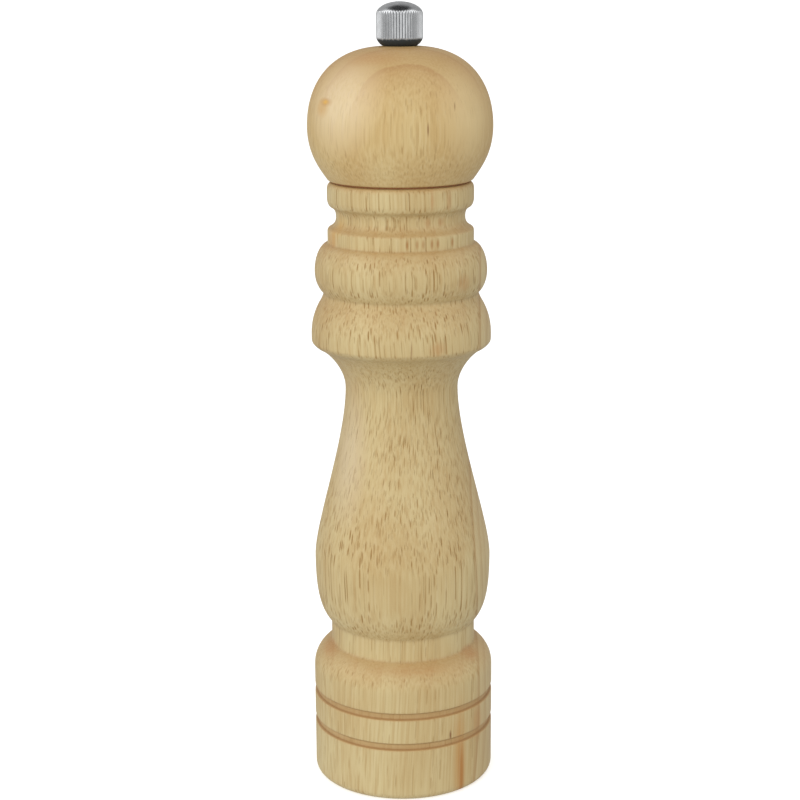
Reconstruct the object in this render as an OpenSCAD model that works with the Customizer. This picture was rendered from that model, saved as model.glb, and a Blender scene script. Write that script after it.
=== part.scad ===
// Pepper mill, turned wood, with a steel burr grinder and a knurled finial nut.
// Millimetres, +Z up. The origin is the centre of the flat foot that it stands on.

/* [Body outline] */
// Diameter of the straight base
base_d = 50; // [49.5:0.1:52]
// Radius of the round edge at the foot
foot_round = 2.2; // [1:0.1:2.8]
// Height where the straight base ends and its shoulder starts
base_h = 31.4; // [30:0.1:33]
// Height of the top of the shoulder
shoulder_h = 38.5; // [37.5:0.1:39.5]
// Radius of the shoulder's round
shoulder_round = 8; // [7:0.5:10]
// Diameter of the short neck above the base
neck_d = 40; // [38:0.1:42]
// Height of the crease between the neck and the belly
crease_h = 44.9; // [44:0.1:46]
// Diameter of the belly
belly_d = 48.6; // [47:0.1:49.5]
// Height of the belly's widest point
belly_h = 63.6; // [62:0.1:65]
// Diameter of the waist
waist_d = 30.6; // [30:0.1:33]
// Height of the waist
waist_h = 111.4; // [110:0.1:113]
// Diameter of the flange above the waist
flange_d = 48.6; // [47:0.1:49.5]
// Height of the flange's lower edge
flange_h = 123; // [122.5:0.1:123.5]
// Height of the top of the flange, where the bead starts
flange_top_h = 137.4; // [137:0.1:138]
// Diameter of the bead
bead_d = 46.4; // [45.5:0.1:47.5]
// Height of the bead's widest point
bead_h = 143.4; // [142.5:0.1:144]
// Height of the top of the bead
bead_top_h = 150.8; // [150:0.1:151.5]
// Diameter of the fillet band and of the collar
collar_d = 39.2; // [38.5:0.1:40]
// Height of the fillet band's upper edge
fillet_h = 154.8; // [154:0.1:155.5]
// Diameter of the cove under the collar
cove_d = 34.5; // [34:0.1:36]
// Height of the collar's lower edge
collar_h = 161.3; // [160.8:0.1:161.8]
// Height of the top of the body
body_top = 167.1; // [166:0.1:168]

/* [Grooves] */
// Height of the middle of the lower groove
lower_groove_h = 15.9; // [14:0.1:18]
// Height of the middle of the upper groove
upper_groove_h = 24.7; // [22:0.1:28]
// Height of each groove
groove_w = 2.1; // [1.5:0.1:2.5]
// Depth of each groove
groove_depth = 0.7; // [0.4:0.1:1]

/* [Head] */
// Diameter of the head
head_d = 49.2; // [48:0.1:50]
// Height of the head's widest point above the top of the body
head_mid = 14.6; // [14:0.1:16]
// Height of the top of the head above the top of the body
head_h = 35.3; // [35:0.1:37]
// Diameter of the head's lower edge
head_foot_d = 38.4; // [37:0.1:39]
// Diameter of the tenon that turns in the body's mouth
tenon_d = 24; // [23.5:0.1:24.2]
// Length of the tenon
tenon_l = 9; // [8:0.5:10]
// Diameter of the hole that the square rod passes
head_bore_d = 9.2; // [8.8:0.1:10]
// Diameter of the hole at the top, which only the thread passes
thread_hole_d = 6; // [5.6:0.1:6.4]

/* [Finial nut] */
// Diameter over the knurl
finial_d = 12.3; // [12:0.1:13]
// Height of the finial nut
finial_h = 11.4; // [11:0.1:12]
// Number of straight knurl ribs
knurl_ribs = 48; // [36:1:60]
// Depth of the knurl
knurl_depth = 0.3; // [0.2:0.05:0.4]
// Diameter of the threaded brass insert
insert_d = 7; // [6.6:0.1:7.4]

/* [Spindle] */
// Width of the square rod
rod_w = 6; // [5.8:0.1:6]
// Diameter of the thread at the top
thread_d = 4.9; // [4.6:0.1:4.9]
// Length of the thread
thread_l = 14.5; // [14:0.1:15]
// Diameter of the journal at the bottom
journal_d = 5.8; // [5.6:0.1:5.9]
// How far the spindle rises from the coarsest to the finest grind
grind_travel = 1; // [0.8:0.1:1.1]

/* [Bores of the body] */
// Diameter of the peppercorn hopper
hopper_d = 22; // [21:0.5:22.5]
// Diameter of the mouth that takes the tenon
mouth_d = 24.6; // [24.5:0.1:25]
// Depth of the mouth
mouth_depth = 12.8; // [12:0.1:14]
// Diameter of the recess in the foot
recess_d = 37; // [36.8:0.1:38]
// Depth of the recess in the foot
recess_depth = 9.5; // [9:0.1:10]

/* [Grinder] */
// Outer diameter of the sleeve that holds the grinder
sleeve_d = 26.8; // [26.6:0.1:27]
// Wall of the sleeve and of its flange
sleeve_wall = 1; // [0.8:0.1:1.2]
// Height of the sleeve above its flange
sleeve_h = 27; // [26:0.5:28]
// Height of the stator ring
stator_h = 14; // [13.5:0.1:14.5]
// Radial gap between rotor and stator at the coarsest grind
burr_gap = 0.7; // [0.6:0.05:0.8]
// Teeth of the rotor and of the stator
burr_teeth = 18; // [12:1:24]
// Thickness of the retaining bar and of the spring bridge
bar_t = 1.5; // [1.2:0.1:1.6]
// Width of the retaining bar and of the spring bridge
bar_w = 10; // [9:0.5:11]
// Wire of the spring
spring_wire = 1; // [0.8:0.1:1]
// Turns of the spring
spring_turns = 6; // [5:1:7]

/* [Hidden] */
$fn = 96;

wood = [0.84, 0.71, 0.48];
steel = [0.62, 0.63, 0.65];
eps = 0.01;
slip = 0.05;            // clearance between pieces of one body
running = 0.08;         // radial clearance of a shaft in its bearing
seam = 0.4;             // space for the washer between head and body

base_r = base_d / 2;
collar_r = collar_d / 2;
head_r = head_d / 2;
head_z = body_top + seam;
head_top = body_top + head_h;
tenon_z = head_z - tenon_l;
finial_z = head_top;
finial_r = finial_d / 2;
rod_diagonal = rod_w * sqrt(2);

// Heights of the grinder, from the foot up
flange_z = recess_depth - sleeve_wall;
bar_z = flange_z - bar_t;
stator_z = flange_z + sleeve_wall;
stator_r = sleeve_d / 2 - sleeve_wall - slip;
sleeve_top = stator_z + sleeve_h;
rotor_z = flange_z + 0.4;
rotor_top = stator_z + stator_h - 1;
clip_pocket = 2.8;
clip_pocket_r = 6;
washer_t = 0.8;
clip_t = 0.7;
clip_gap = 0.1;
bridge_z = sleeve_top - bar_t - 0.5;
bridge_r = sleeve_d / 2 - sleeve_wall - slip;
bridge_leg = 2.2;
rivet_r = 1;
rivet_head = 0.7;
thrust_washer_z = rotor_top + slip;
spring_z = thrust_washer_z + washer_t;
spring_r = rod_diagonal / 2 + 0.25 + spring_wire / 2;
journal_z = bar_z - 1;
square_z = rotor_z + clip_pocket;
square_top = head_top - 7.4;
plate_t = 1.5;
screw_circle = 15.9;
screw_r = 1.4;
plate_screw_circle = 8.2;
plate_screw_r = 1.1;

// ---- Outlines: each function gives the points after its first corner ----

function bezier(a, b, c, d, n) =
    [for (i = [1:n]) let (t = i / n, u = 1 - t)
        u * u * u * a + 3 * u * u * t * b + 3 * u * t * t * c + t * t * t * d];

// A round of the given radius that bulges away from the axis, from a up to b
function bulge(a, b, radius, n) =
    let (chord = b - a,
         half = norm(chord) / 2,
         out = [chord.y, -chord.x] / norm(chord),
         centre = (a + b) / 2 - out * sqrt(radius * radius - half * half),
         start = atan2(a.y - centre.y, a.x - centre.x),
         stop = atan2(b.y - centre.y, b.x - centre.x))
    [for (i = [1:n]) let (t = start + (stop - start) * i / n)
        centre + radius * [cos(t), sin(t)]];

function groove(z) =
    [[base_r, z - groove_w / 2], [base_r - groove_depth, z - groove_w / 2 + 0.3],
     [base_r - groove_depth, z + groove_w / 2 - 0.3], [base_r, z + groove_w / 2]];

function base_outline() = concat(
    [[base_r - foot_round, 0]],
    bulge([base_r - foot_round, 0], [base_r, foot_round], foot_round, 6),
    groove(lower_groove_h),
    groove(upper_groove_h),
    [[base_r, base_h]],
    bulge([base_r, base_h], [neck_d / 2 + 0.3, shoulder_h], shoulder_round, 8),
    [[neck_d / 2, shoulder_h + 0.1], [neck_d / 2, crease_h]]);

function belly_outline() = concat(
    bezier([neck_d / 2, crease_h], [neck_d / 2 + 3.3, crease_h + 3.3],
           [belly_d / 2, belly_h - 10], [belly_d / 2, belly_h], 10),
    bezier([belly_d / 2, belly_h], [belly_d / 2, belly_h + 8.7],
           [waist_d / 2, waist_h - 14.5], [waist_d / 2, waist_h], 16));

function flange_outline() = concat(
    bezier([waist_d / 2, waist_h], [waist_d / 2, waist_h + 5.4],
           [flange_d / 2 - 3.6, flange_h - 0.7], [flange_d / 2 - 1.2, flange_h], 8),
    [[flange_d / 2, flange_h + 1.2], [flange_d / 2, flange_h + 3.6]],
    bulge([flange_d / 2, flange_h + 3.6], [flange_d / 2 - 2.8, flange_top_h - 1.7], 16.7, 6),
    [[flange_d / 2 - 3.5, flange_top_h]]);

function bead_outline() = concat(
    bezier([flange_d / 2 - 3.5, flange_top_h], [bead_d / 2 - 1.3, flange_top_h + 1],
           [bead_d / 2, bead_h - 3.2], [bead_d / 2, bead_h], 8),
    bezier([bead_d / 2, bead_h], [bead_d / 2, bead_h + 4],
           [collar_r + 2, bead_top_h - 0.6], [collar_r + 0.5, bead_top_h], 8),
    [[collar_r, bead_top_h + eps], [collar_r, fillet_h]]);

function collar_outline() = concat(
    bezier([collar_r, fillet_h], [cove_d / 2 + 0.4, fillet_h + 0.8],
           [cove_d / 2, fillet_h + 1.8], [cove_d / 2, fillet_h + 3], 5),
    bezier([cove_d / 2, fillet_h + 3], [cove_d / 2, fillet_h + 4.6],
           [collar_r - 2, collar_h - 1], [collar_r - 0.6, collar_h - 0.6], 5),
    [[collar_r, collar_h], [collar_r, body_top - 0.4], [collar_r - 0.4, body_top]]);

function head_outline() = let (mid = body_top + head_mid) concat(
    [[head_foot_d / 2 - 0.3, head_z], [head_foot_d / 2, head_z + 0.3]],
    bezier([head_foot_d / 2, head_z + 0.3], [head_foot_d / 2 + 2.1, head_z + 3],
           [head_r, mid - 7.2], [head_r, mid], 12),
    bezier([head_r, mid], [head_r, mid + 11.7],
           [17.7, head_top + 0.4], [thread_hole_d / 2, head_top], 18));

// ---- Wooden pieces ----

module body() {
    color(wood) difference() {
        rotate_extrude()
            polygon(concat([[0, 0]], base_outline(), belly_outline(), flange_outline(),
                           bead_outline(), collar_outline(), [[0, body_top]]));
        translate([0, 0, -1]) cylinder(h = body_top + 2, d = hopper_d);
        translate([0, 0, -1]) cylinder(h = recess_depth + 1, d = recess_d);
        cylinder(h = sleeve_top + slip, d = sleeve_d + 2 * slip);
        translate([0, 0, body_top - mouth_depth]) cylinder(h = mouth_depth + 1, d = mouth_d);
        ring_of(4, screw_circle) cylinder(h = flange_z + 10, r = screw_r + slip, $fn = 24);
    }
}

module head() {
    color(wood) difference() {
        union() {
            rotate_extrude()
                polygon(concat([[0, head_z]], head_outline(), [[0, head_top]]));
            translate([0, 0, tenon_z]) cylinder(h = tenon_l + 1, d = tenon_d);
        }
        translate([0, 0, tenon_z - 1]) cylinder(h = square_top - tenon_z + 2.5, d = head_bore_d);
        cylinder(h = head_top + 1, d = thread_hole_d);
        ring_of(2, plate_screw_circle)
            translate([0, 0, tenon_z - 1])
                cylinder(h = 7.2, r = plate_screw_r + slip, $fn = 24);
    }
}

module seam_washer() {
    color([0.2, 0.12, 0.07])
        washer(body_top + 0.02, head_z - 0.02, tenon_d / 2 + 0.6, head_foot_d / 2 - 0.7);
}

// ---- Finial ----

module finial_nut() {
    root = finial_r - knurl_depth;
    core = root - slip;
    dome_h = 3.4;
    crown_r = 0.5;
    dome_z = finial_z + finial_h - dome_h;
    knurl_z = finial_z + 2.1;
    knurl_top = dome_z + slip;
    color("silver") difference() {
        union() {
            rotate_extrude()
                polygon(concat(
                    [[0, finial_z], [4.4, finial_z]],
                    bulge([4.4, finial_z], [core, knurl_z + slip], 3, 4),
                    [for (a = [0:10:80]) [core * cos(a), dome_z + dome_h * sin(a)]],
                    [[crown_r, finial_z + finial_h], [0, finial_z + finial_h]]));
            translate([0, 0, knurl_z])
                linear_extrude(knurl_top - knurl_z)
                    polygon([for (i = [0:2 * knurl_ribs - 1])
                        let (a = 180 * i / knurl_ribs, r = i % 2 == 0 ? finial_r : root)
                        r * [cos(a), sin(a)]]);
        }
        translate([0, 0, finial_z - 1]) cylinder(h = finial_h - 1.5, d = insert_d);
    }
}

module finial_insert() {
    color("gold")
        washer(finial_z + 0.1, finial_z + finial_h - 3.2, thread_d / 2 + running,
               insert_d / 2 - slip);
}

// ---- Drive from the head to the rod ----

module drive_plate() {
    color(steel) difference() {
        translate([0, 0, tenon_z - plate_t]) cylinder(h = plate_t - eps, r = tenon_d / 2 - 1.2);
        square_hole(tenon_z - plate_t - 1, plate_t + 2, rod_w + 0.2);
        ring_of(2, plate_screw_circle)
            translate([0, 0, tenon_z - plate_t - eps])
                cylinder(h = plate_t + 1, r = plate_screw_r + slip, $fn = 24);
        ring_of(2, plate_screw_circle)
            translate([0, 0, tenon_z - plate_t - eps])
                cylinder(h = 1 + eps, r1 = 2.2, r2 = plate_screw_r + slip, $fn = 24);
    }
}

module drive_plate_screws() {
    color("silver") ring_of(2, plate_screw_circle)
        translate([0, 0, tenon_z - plate_t]) {
            cylinder(h = 1, r1 = 2.15, r2 = plate_screw_r, $fn = 24);
            cylinder(h = 7, r = plate_screw_r, $fn = 24);
        }
}

module spindle() {
    groove_z = square_z - washer_t - clip_t - 2 * clip_gap;
    color([0.8, 0.81, 0.83]) difference() {
        union() {
            translate([-rod_w / 2, -rod_w / 2, square_z])
                cube([rod_w, rod_w, square_top - square_z]);
            translate([0, 0, journal_z]) cylinder(h = square_z - journal_z + 1, d = journal_d);
            translate([0, 0, square_top - 1]) cylinder(h = thread_l + 1, d = thread_d);
        }
        difference() {
            translate([0, 0, groove_z]) cylinder(h = clip_t + 2 * clip_gap, d = journal_d + 1);
            translate([0, 0, groove_z - 1]) cylinder(h = clip_t + 3, d = journal_d - 1.2);
        }
    }
}

// ---- Grinder ----

module rotor() {
    waist_z = stator_z + 5;
    foot_r = stator_r - 1.15 - burr_gap;
    waist_r = foot_r - 1.5;
    color([0.36, 0.35, 0.35]) difference() {
        rotate_extrude()
            polygon([[0, rotor_z], [foot_r - 0.4, rotor_z], [foot_r, stator_z],
                     [waist_r, waist_z], [5.6, rotor_top - 0.6], [5.2, rotor_top],
                     [0, rotor_top]]);
        square_hole(rotor_z - 1, rotor_top - rotor_z + 2, rod_w + 2 * slip);
        translate([0, 0, rotor_z - 1]) cylinder(h = clip_pocket + 1, r = clip_pocket_r);
        // fine teeth round the foot
        for (i = [0:burr_teeth - 1])
            v_groove(360 * i / burr_teeth, foot_r, stator_z, waist_r, waist_z, 0.8);
        // coarse teeth that draw the corns down
        for (i = [0:2])
            v_groove(120 * i, waist_r, waist_z, 5.6, rotor_top - 0.6, 2.4);
    }
}

module stator() {
    foot_r = stator_r - 1.15;
    throat_r = foot_r - 1.5;
    color([0.4, 0.39, 0.38]) difference() {
        translate([0, 0, stator_z + slip]) cylinder(h = stator_h, r = stator_r);
        rotate_extrude()
            polygon([[0, stator_z - 1], [foot_r + 0.3, stator_z - 1], [throat_r, stator_z + 5],
                     [throat_r + 0.2, stator_z + stator_h - 2],
                     [stator_r - 0.8, stator_z + stator_h + 1], [0, stator_z + stator_h + 1]]);
        for (i = [0:burr_teeth - 1])
            v_groove(360 * i / burr_teeth, foot_r, stator_z, throat_r, stator_z + 5, 0.7);
    }
}

module stator_sleeve() {
    color(steel) difference() {
        union() {
            translate([0, 0, flange_z + eps]) cylinder(h = sleeve_wall - eps, d = recess_d - 0.6);
            translate([0, 0, flange_z + eps]) cylinder(h = sleeve_h + sleeve_wall - eps, d = sleeve_d);
        }
        translate([0, 0, flange_z - 1])
            cylinder(h = sleeve_h + 3, d = sleeve_d - 2 * sleeve_wall);
        ring_of(4, screw_circle)
            translate([0, 0, flange_z - 1])
                cylinder(h = 4, r = screw_r + 2 * slip, $fn = 24);
        rivet_holes();
    }
}

module spring_bridge() {
    color(steel) difference() {
        intersection() {
            union() {
                translate([-bridge_r, -bar_w / 2, bridge_z]) cube([2 * bridge_r, bar_w, bar_t]);
                for (side = [0, 180])
                    rotate([0, 0, side])
                        translate([bridge_r - bridge_leg, -bar_w / 2, bridge_z - 5.5])
                            cube([bridge_leg, bar_w, 6]);
            }
            translate([0, 0, bridge_z - 6]) cylinder(h = 9, r = bridge_r);
        }
        cylinder(h = sleeve_top, r = rod_diagonal / 2 + 0.2);
        rivet_holes();
    }
}

module bridge_rivets() {
    shank = sleeve_d / 2 - bridge_r + bridge_leg;
    color("silver") for (side = [0, 180])
        rivet_place(side) {
            translate([0, 0, -shank]) cylinder(h = shank, r = rivet_r, $fn = 24);
            translate([0, 0, -shank - rivet_head]) cylinder(h = rivet_head, r = 1.7, $fn = 24);
        }
}

// Each rivet's own axis, from the sleeve's outer wall, pointing outwards
module rivet_place(side) {
    rotate([0, 0, side])
        translate([sleeve_d / 2, 0, bridge_z - 3])
            rotate([0, 90, 0]) children();
}

module rivet_holes() {
    for (side = [0, 180])
        rivet_place(side)
            translate([0, 0, -5]) cylinder(h = 7, r = rivet_r + slip, $fn = 24);
}

module thrust_washer() {
    color("silver")
        washer(thrust_washer_z, thrust_washer_z + washer_t, rod_diagonal / 2 + 0.25,
               spring_r + spring_wire / 2 + 0.2);
}

// The coil is swept as one closed tube, its ends resting on the washer and the bridge
module spring() {
    sides = 8;
    steps = 18 * spring_turns;
    rise = bridge_z - spring_z - spring_wire - 2 * slip;
    rings = [for (i = [0:steps]) let (t = i / steps, a = 360 * spring_turns * t)
        for (k = [0:sides - 1])
            let (b = -360 * k / sides, r = spring_r + spring_wire / 2 * cos(b))
            [r * cos(a), r * sin(a),
             spring_z + slip + spring_wire / 2 + rise * t + spring_wire / 2 * sin(b)]];
    walls = [for (i = [0:steps - 1]) for (k = [0:sides - 1])
        let (n = (k + 1) % sides)
        [i * sides + k, i * sides + n, (i + 1) * sides + n, (i + 1) * sides + k]];
    near_end = [for (k = [sides - 1:-1:0]) k];
    far_end = [for (k = [0:sides - 1]) steps * sides + k];
    color("gainsboro") polyhedron(rings, concat([near_end], walls, [far_end]), convexity = 8);
}

module rotor_washer() {
    top = square_z - slip;
    color("silver")
        washer(top - washer_t, top, journal_d / 2 + slip, clip_pocket_r - 0.5);
}

module retaining_clip() {
    bottom = square_z - washer_t - clip_t - clip_gap;
    color("dimgray") difference() {
        translate([0, 0, bottom]) cylinder(h = clip_t, r = 4.8);
        translate([0, 0, bottom - 1]) cylinder(h = clip_t + 2, d = journal_d - 1.2 + 2 * slip);
        translate([0, -(journal_d - 1.6) / 2, bottom - 1]) cube([6, journal_d - 1.6, clip_t + 2]);
    }
}

module retaining_bar() {
    length = recess_d - 1;
    color(steel) difference() {
        intersection() {
            translate([-length / 2, -bar_w / 2, bar_z]) cube([length, bar_w, bar_t]);
            cylinder(h = flange_z, d = length);
        }
        cylinder(h = flange_z + 1, r = journal_d / 2 + running);
        ring_of(2, screw_circle) cylinder(h = flange_z + 1, r = screw_r + 2 * slip, $fn = 24);
    }
}

module retaining_bar_screws() {
    color("silver") ring_of(2, screw_circle) wood_screw(bar_z);
}

module flange_screws() {
    color("silver") rotate([0, 0, 90]) ring_of(2, screw_circle) wood_screw(flange_z);
}

// ---- Shared shapes ----

// Copies round the axis at the given radius
module ring_of(count, radius) {
    for (i = [0:count - 1])
        rotate([0, 0, 360 * i / count]) translate([radius, 0, 0]) children();
}

module washer(z0, z1, inner_r, outer_r) {
    difference() {
        translate([0, 0, z0]) cylinder(h = z1 - z0, r = outer_r);
        translate([0, 0, z0 - 1]) cylinder(h = z1 - z0 + 2, r = inner_r);
    }
}

module square_hole(z, h, width) {
    translate([-width / 2, -width / 2, z]) cube([width, width, h]);
}

// A V-shaped notch along a cone's side, from (r0, z0) up to (r1, z1)
module v_groove(angle, r0, z0, r1, z1, width) {
    lean = atan2(r1 - r0, z1 - z0);
    rotate([0, 0, angle])
        translate([r0, 0, z0])
            rotate([0, lean, 0])
                translate([0, 0, -2])
                    rotate([0, 0, 45])
                        translate([-width / 2, -width / 2, 0])
                            cube([width, width, norm([r1 - r0, z1 - z0]) + 2.6]);
}

// A pan-head screw that goes up into the wood, its head under the face at z
module wood_screw(z) {
    head_h = 1.2;
    translate([0, 0, z - head_h - eps]) cylinder(h = head_h, r = 2.3, $fn = 24);
    translate([0, 0, z - head_h]) cylinder(h = flange_z + 9.5 - z + head_h, r = screw_r, $fn = 24);
}

body();
head();
seam_washer();
finial_nut();
finial_insert();
drive_plate();
drive_plate_screws();
spindle();
spring_bridge();
bridge_rivets();
spring();
thrust_washer();
rotor();
rotor_washer();
retaining_clip();
stator();
stator_sleeve();
retaining_bar();
retaining_bar_screws();
flange_screws();
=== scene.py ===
"""Looks of a turned-wood pepper mill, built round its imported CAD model. Metres, +Z up, its axis on Z."""

import math

import bmesh
import bpy
import numpy as np
from mathutils import Matrix, Vector


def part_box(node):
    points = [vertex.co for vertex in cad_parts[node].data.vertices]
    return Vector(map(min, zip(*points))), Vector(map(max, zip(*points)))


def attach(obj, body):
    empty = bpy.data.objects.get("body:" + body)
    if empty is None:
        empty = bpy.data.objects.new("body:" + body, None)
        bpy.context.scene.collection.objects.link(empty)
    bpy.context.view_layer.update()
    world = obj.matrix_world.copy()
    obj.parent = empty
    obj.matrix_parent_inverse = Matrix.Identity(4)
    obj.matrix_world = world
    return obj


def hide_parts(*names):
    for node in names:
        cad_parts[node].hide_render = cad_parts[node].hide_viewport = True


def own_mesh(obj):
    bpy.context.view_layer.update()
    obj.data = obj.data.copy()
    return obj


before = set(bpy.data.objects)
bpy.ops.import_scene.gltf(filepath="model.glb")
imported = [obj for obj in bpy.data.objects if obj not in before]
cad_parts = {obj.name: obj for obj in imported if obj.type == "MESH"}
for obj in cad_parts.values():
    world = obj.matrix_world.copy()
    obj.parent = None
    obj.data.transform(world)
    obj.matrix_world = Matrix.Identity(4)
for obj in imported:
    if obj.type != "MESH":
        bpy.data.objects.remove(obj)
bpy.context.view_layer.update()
MM = 0.001


# ---------------------------------------------------------------- sizes, in millimetres


def span(node):
    """A CAD node's lowest and highest corner, in millimetres."""
    low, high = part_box(node)
    return [v / MM for v in low], [v / MM for v in high]


def radius(node):
    low, high = span(node)
    return (high[0] - low[0]) / 2


BASE_R = radius("body")
BODY_TOP = span("body")[1][2]
HEAD_R = radius("head")
HEAD_TOP = span("head")[1][2]
TENON_Z = span("head")[0][2]
HEAD_Z = span("seam_washer")[1][2] + 0.02
FINIAL_R = radius("finial_nut")
FINIAL_TOP = span("finial_nut")[1][2]
RECESS_DEPTH = span("stator_sleeve")[0][2] + 1.0
SLEEVE_TOP = span("stator_sleeve")[1][2]

THREAD_PITCH = 0.8
RECESS_R = 18.5
SLEEVE_BORE_R = 13.45
HOPPER_R = 11.0
MOUTH_R = 12.3
MOUTH_DEPTH = 12.8
TENON_R = 12.0
HEAD_BORE_R = 4.6
THREAD_HOLE_R = 3.0
THREAD_R = 2.45
BASE_H = 31.4
# Above the base, all of the body's bores lie within this.
OUTER_WALL_R = 15.0

NECK_R = 20.0
BELLY_R = 24.3
WAIST_R = 15.3
FLANGE_R = 24.3
BEAD_R = 23.2
COLLAR_R = 19.6
COVE_R = 17.25
FOOT_ROUND = 2.2
GROOVES = (15.9, 24.7)
GROOVE_W = 2.1
GROOVE_DEPTH = 0.7


# ---------------------------------------------------------------- outlines, as (radius, height)


def bezier(a, b, c, d, steps):
    """Points after a, up to d."""
    points = []
    for i in range(1, steps + 1):
        t = i / steps
        u = 1 - t
        weights = (u * u * u, 3 * u * u * t, 3 * u * t * t, t * t * t)
        points.append(tuple(sum(w * p[k] for w, p in zip(weights, (a, b, c, d))) for k in (0, 1)))
    return points


def bulge(a, b, round_r, steps):
    """Points after a, up to b, on a round that bulges away from the axis."""
    a, b = Vector(a), Vector(b)
    chord = b - a
    out = Vector((chord.y, -chord.x)).normalized()
    centre = (a + b) / 2 - out * math.sqrt(round_r**2 - chord.length_squared / 4)
    start = math.atan2(a.y - centre.y, a.x - centre.x)
    stop = math.atan2(b.y - centre.y, b.x - centre.x)
    angles = [start + (stop - start) * i / steps for i in range(1, steps + 1)]
    return [(centre.x + round_r * math.cos(t), centre.y + round_r * math.sin(t)) for t in angles]


def groove(z):
    half, slant = GROOVE_W / 2, 0.35
    deep_r = BASE_R - GROOVE_DEPTH
    return [(BASE_R, z - half), (deep_r, z - half + slant), (deep_r, z + half - slant), (BASE_R, z + half)]


def body_outline():
    """The body's whole section: its outside from the foot up, then its bores from the mouth down."""
    shoulder_h, crease_h = 38.5, 44.9
    belly_h, waist_h, flange_h, flange_top = 63.6, 111.4, 123.0, 137.4
    bead_h, bead_top, fillet_h, collar_h = 143.4, 150.8, 154.8, 161.3
    p = [(RECESS_R + 0.4, 0), (BASE_R - FOOT_ROUND, 0)]
    p += bulge(p[-1], (BASE_R, FOOT_ROUND), FOOT_ROUND, 8)
    for z in GROOVES:
        p += groove(z)
    p += [(BASE_R, BASE_H)]
    p += bulge(p[-1], (NECK_R + 0.3, shoulder_h), 8, 16)
    p += [(NECK_R, shoulder_h + 0.1), (NECK_R, crease_h)]
    p += bezier(p[-1], (NECK_R + 3.3, crease_h + 3.3), (BELLY_R, belly_h - 10), (BELLY_R, belly_h), 24)
    p += bezier(p[-1], (BELLY_R, belly_h + 8.7), (WAIST_R, waist_h - 14.5), (WAIST_R, waist_h), 40)
    flange_foot = (FLANGE_R - 1.2, flange_h)
    p += bezier(p[-1], (WAIST_R, waist_h + 5.4), (FLANGE_R - 3.6, flange_h - 0.7), flange_foot, 20)
    p += [(FLANGE_R, flange_h + 1.2), (FLANGE_R, flange_h + 3.6)]
    p += bulge(p[-1], (FLANGE_R - 2.8, flange_top - 1.7), 16.7, 12)
    p += [(FLANGE_R - 3.5, flange_top)]
    p += bezier(p[-1], (BEAD_R - 1.3, flange_top + 1), (BEAD_R, bead_h - 3.2), (BEAD_R, bead_h), 14)
    p += bezier(p[-1], (BEAD_R, bead_h + 4), (COLLAR_R + 2, bead_top - 0.6), (COLLAR_R + 0.5, bead_top), 14)
    p += [(COLLAR_R, bead_top + 0.01), (COLLAR_R, fillet_h)]
    p += bezier(p[-1], (COVE_R + 0.4, fillet_h + 0.8), (COVE_R, fillet_h + 1.8), (COVE_R, fillet_h + 3), 10)
    collar_foot = (COLLAR_R - 0.6, collar_h - 0.6)
    p += bezier(p[-1], (COVE_R, fillet_h + 4.6), (COLLAR_R - 2, collar_h - 1), collar_foot, 10)
    p += [(COLLAR_R - 0.3, collar_h), (COLLAR_R, collar_h + 0.9), (COLLAR_R, BODY_TOP - 1.2)]
    p += [(COLLAR_R - 0.35, BODY_TOP - 0.35), (COLLAR_R - 0.9, BODY_TOP)]
    p += [(MOUTH_R, BODY_TOP), (MOUTH_R, BODY_TOP - MOUTH_DEPTH), (HOPPER_R, BODY_TOP - MOUTH_DEPTH)]
    p += [(HOPPER_R, SLEEVE_TOP), (SLEEVE_BORE_R, SLEEVE_TOP), (SLEEVE_BORE_R, RECESS_DEPTH)]
    p += [(RECESS_R, RECESS_DEPTH), (RECESS_R, 0.4)]
    return p


def head_outline():
    """The head's whole section, from its bore's lower end, round the outside and back."""
    middle, edge_r, hole_depth = BODY_TOP + 14.6, 19.2, 5.4
    p = [(HEAD_BORE_R, TENON_Z), (TENON_R - 0.3, TENON_Z), (TENON_R, TENON_Z + 0.3), (TENON_R, HEAD_Z)]
    p += [(edge_r, HEAD_Z)]
    p += bezier(p[-1], (edge_r + 2.1, HEAD_Z + 3), (HEAD_R, middle - 7.2), (HEAD_R, middle), 30)
    p += bezier(p[-1], (HEAD_R, middle + 11.7), (17.7, HEAD_TOP + 0.4), (THREAD_HOLE_R, HEAD_TOP), 44)
    p += [(THREAD_HOLE_R, HEAD_TOP - hole_depth), (HEAD_BORE_R, HEAD_TOP - hole_depth)]
    return p


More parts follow.
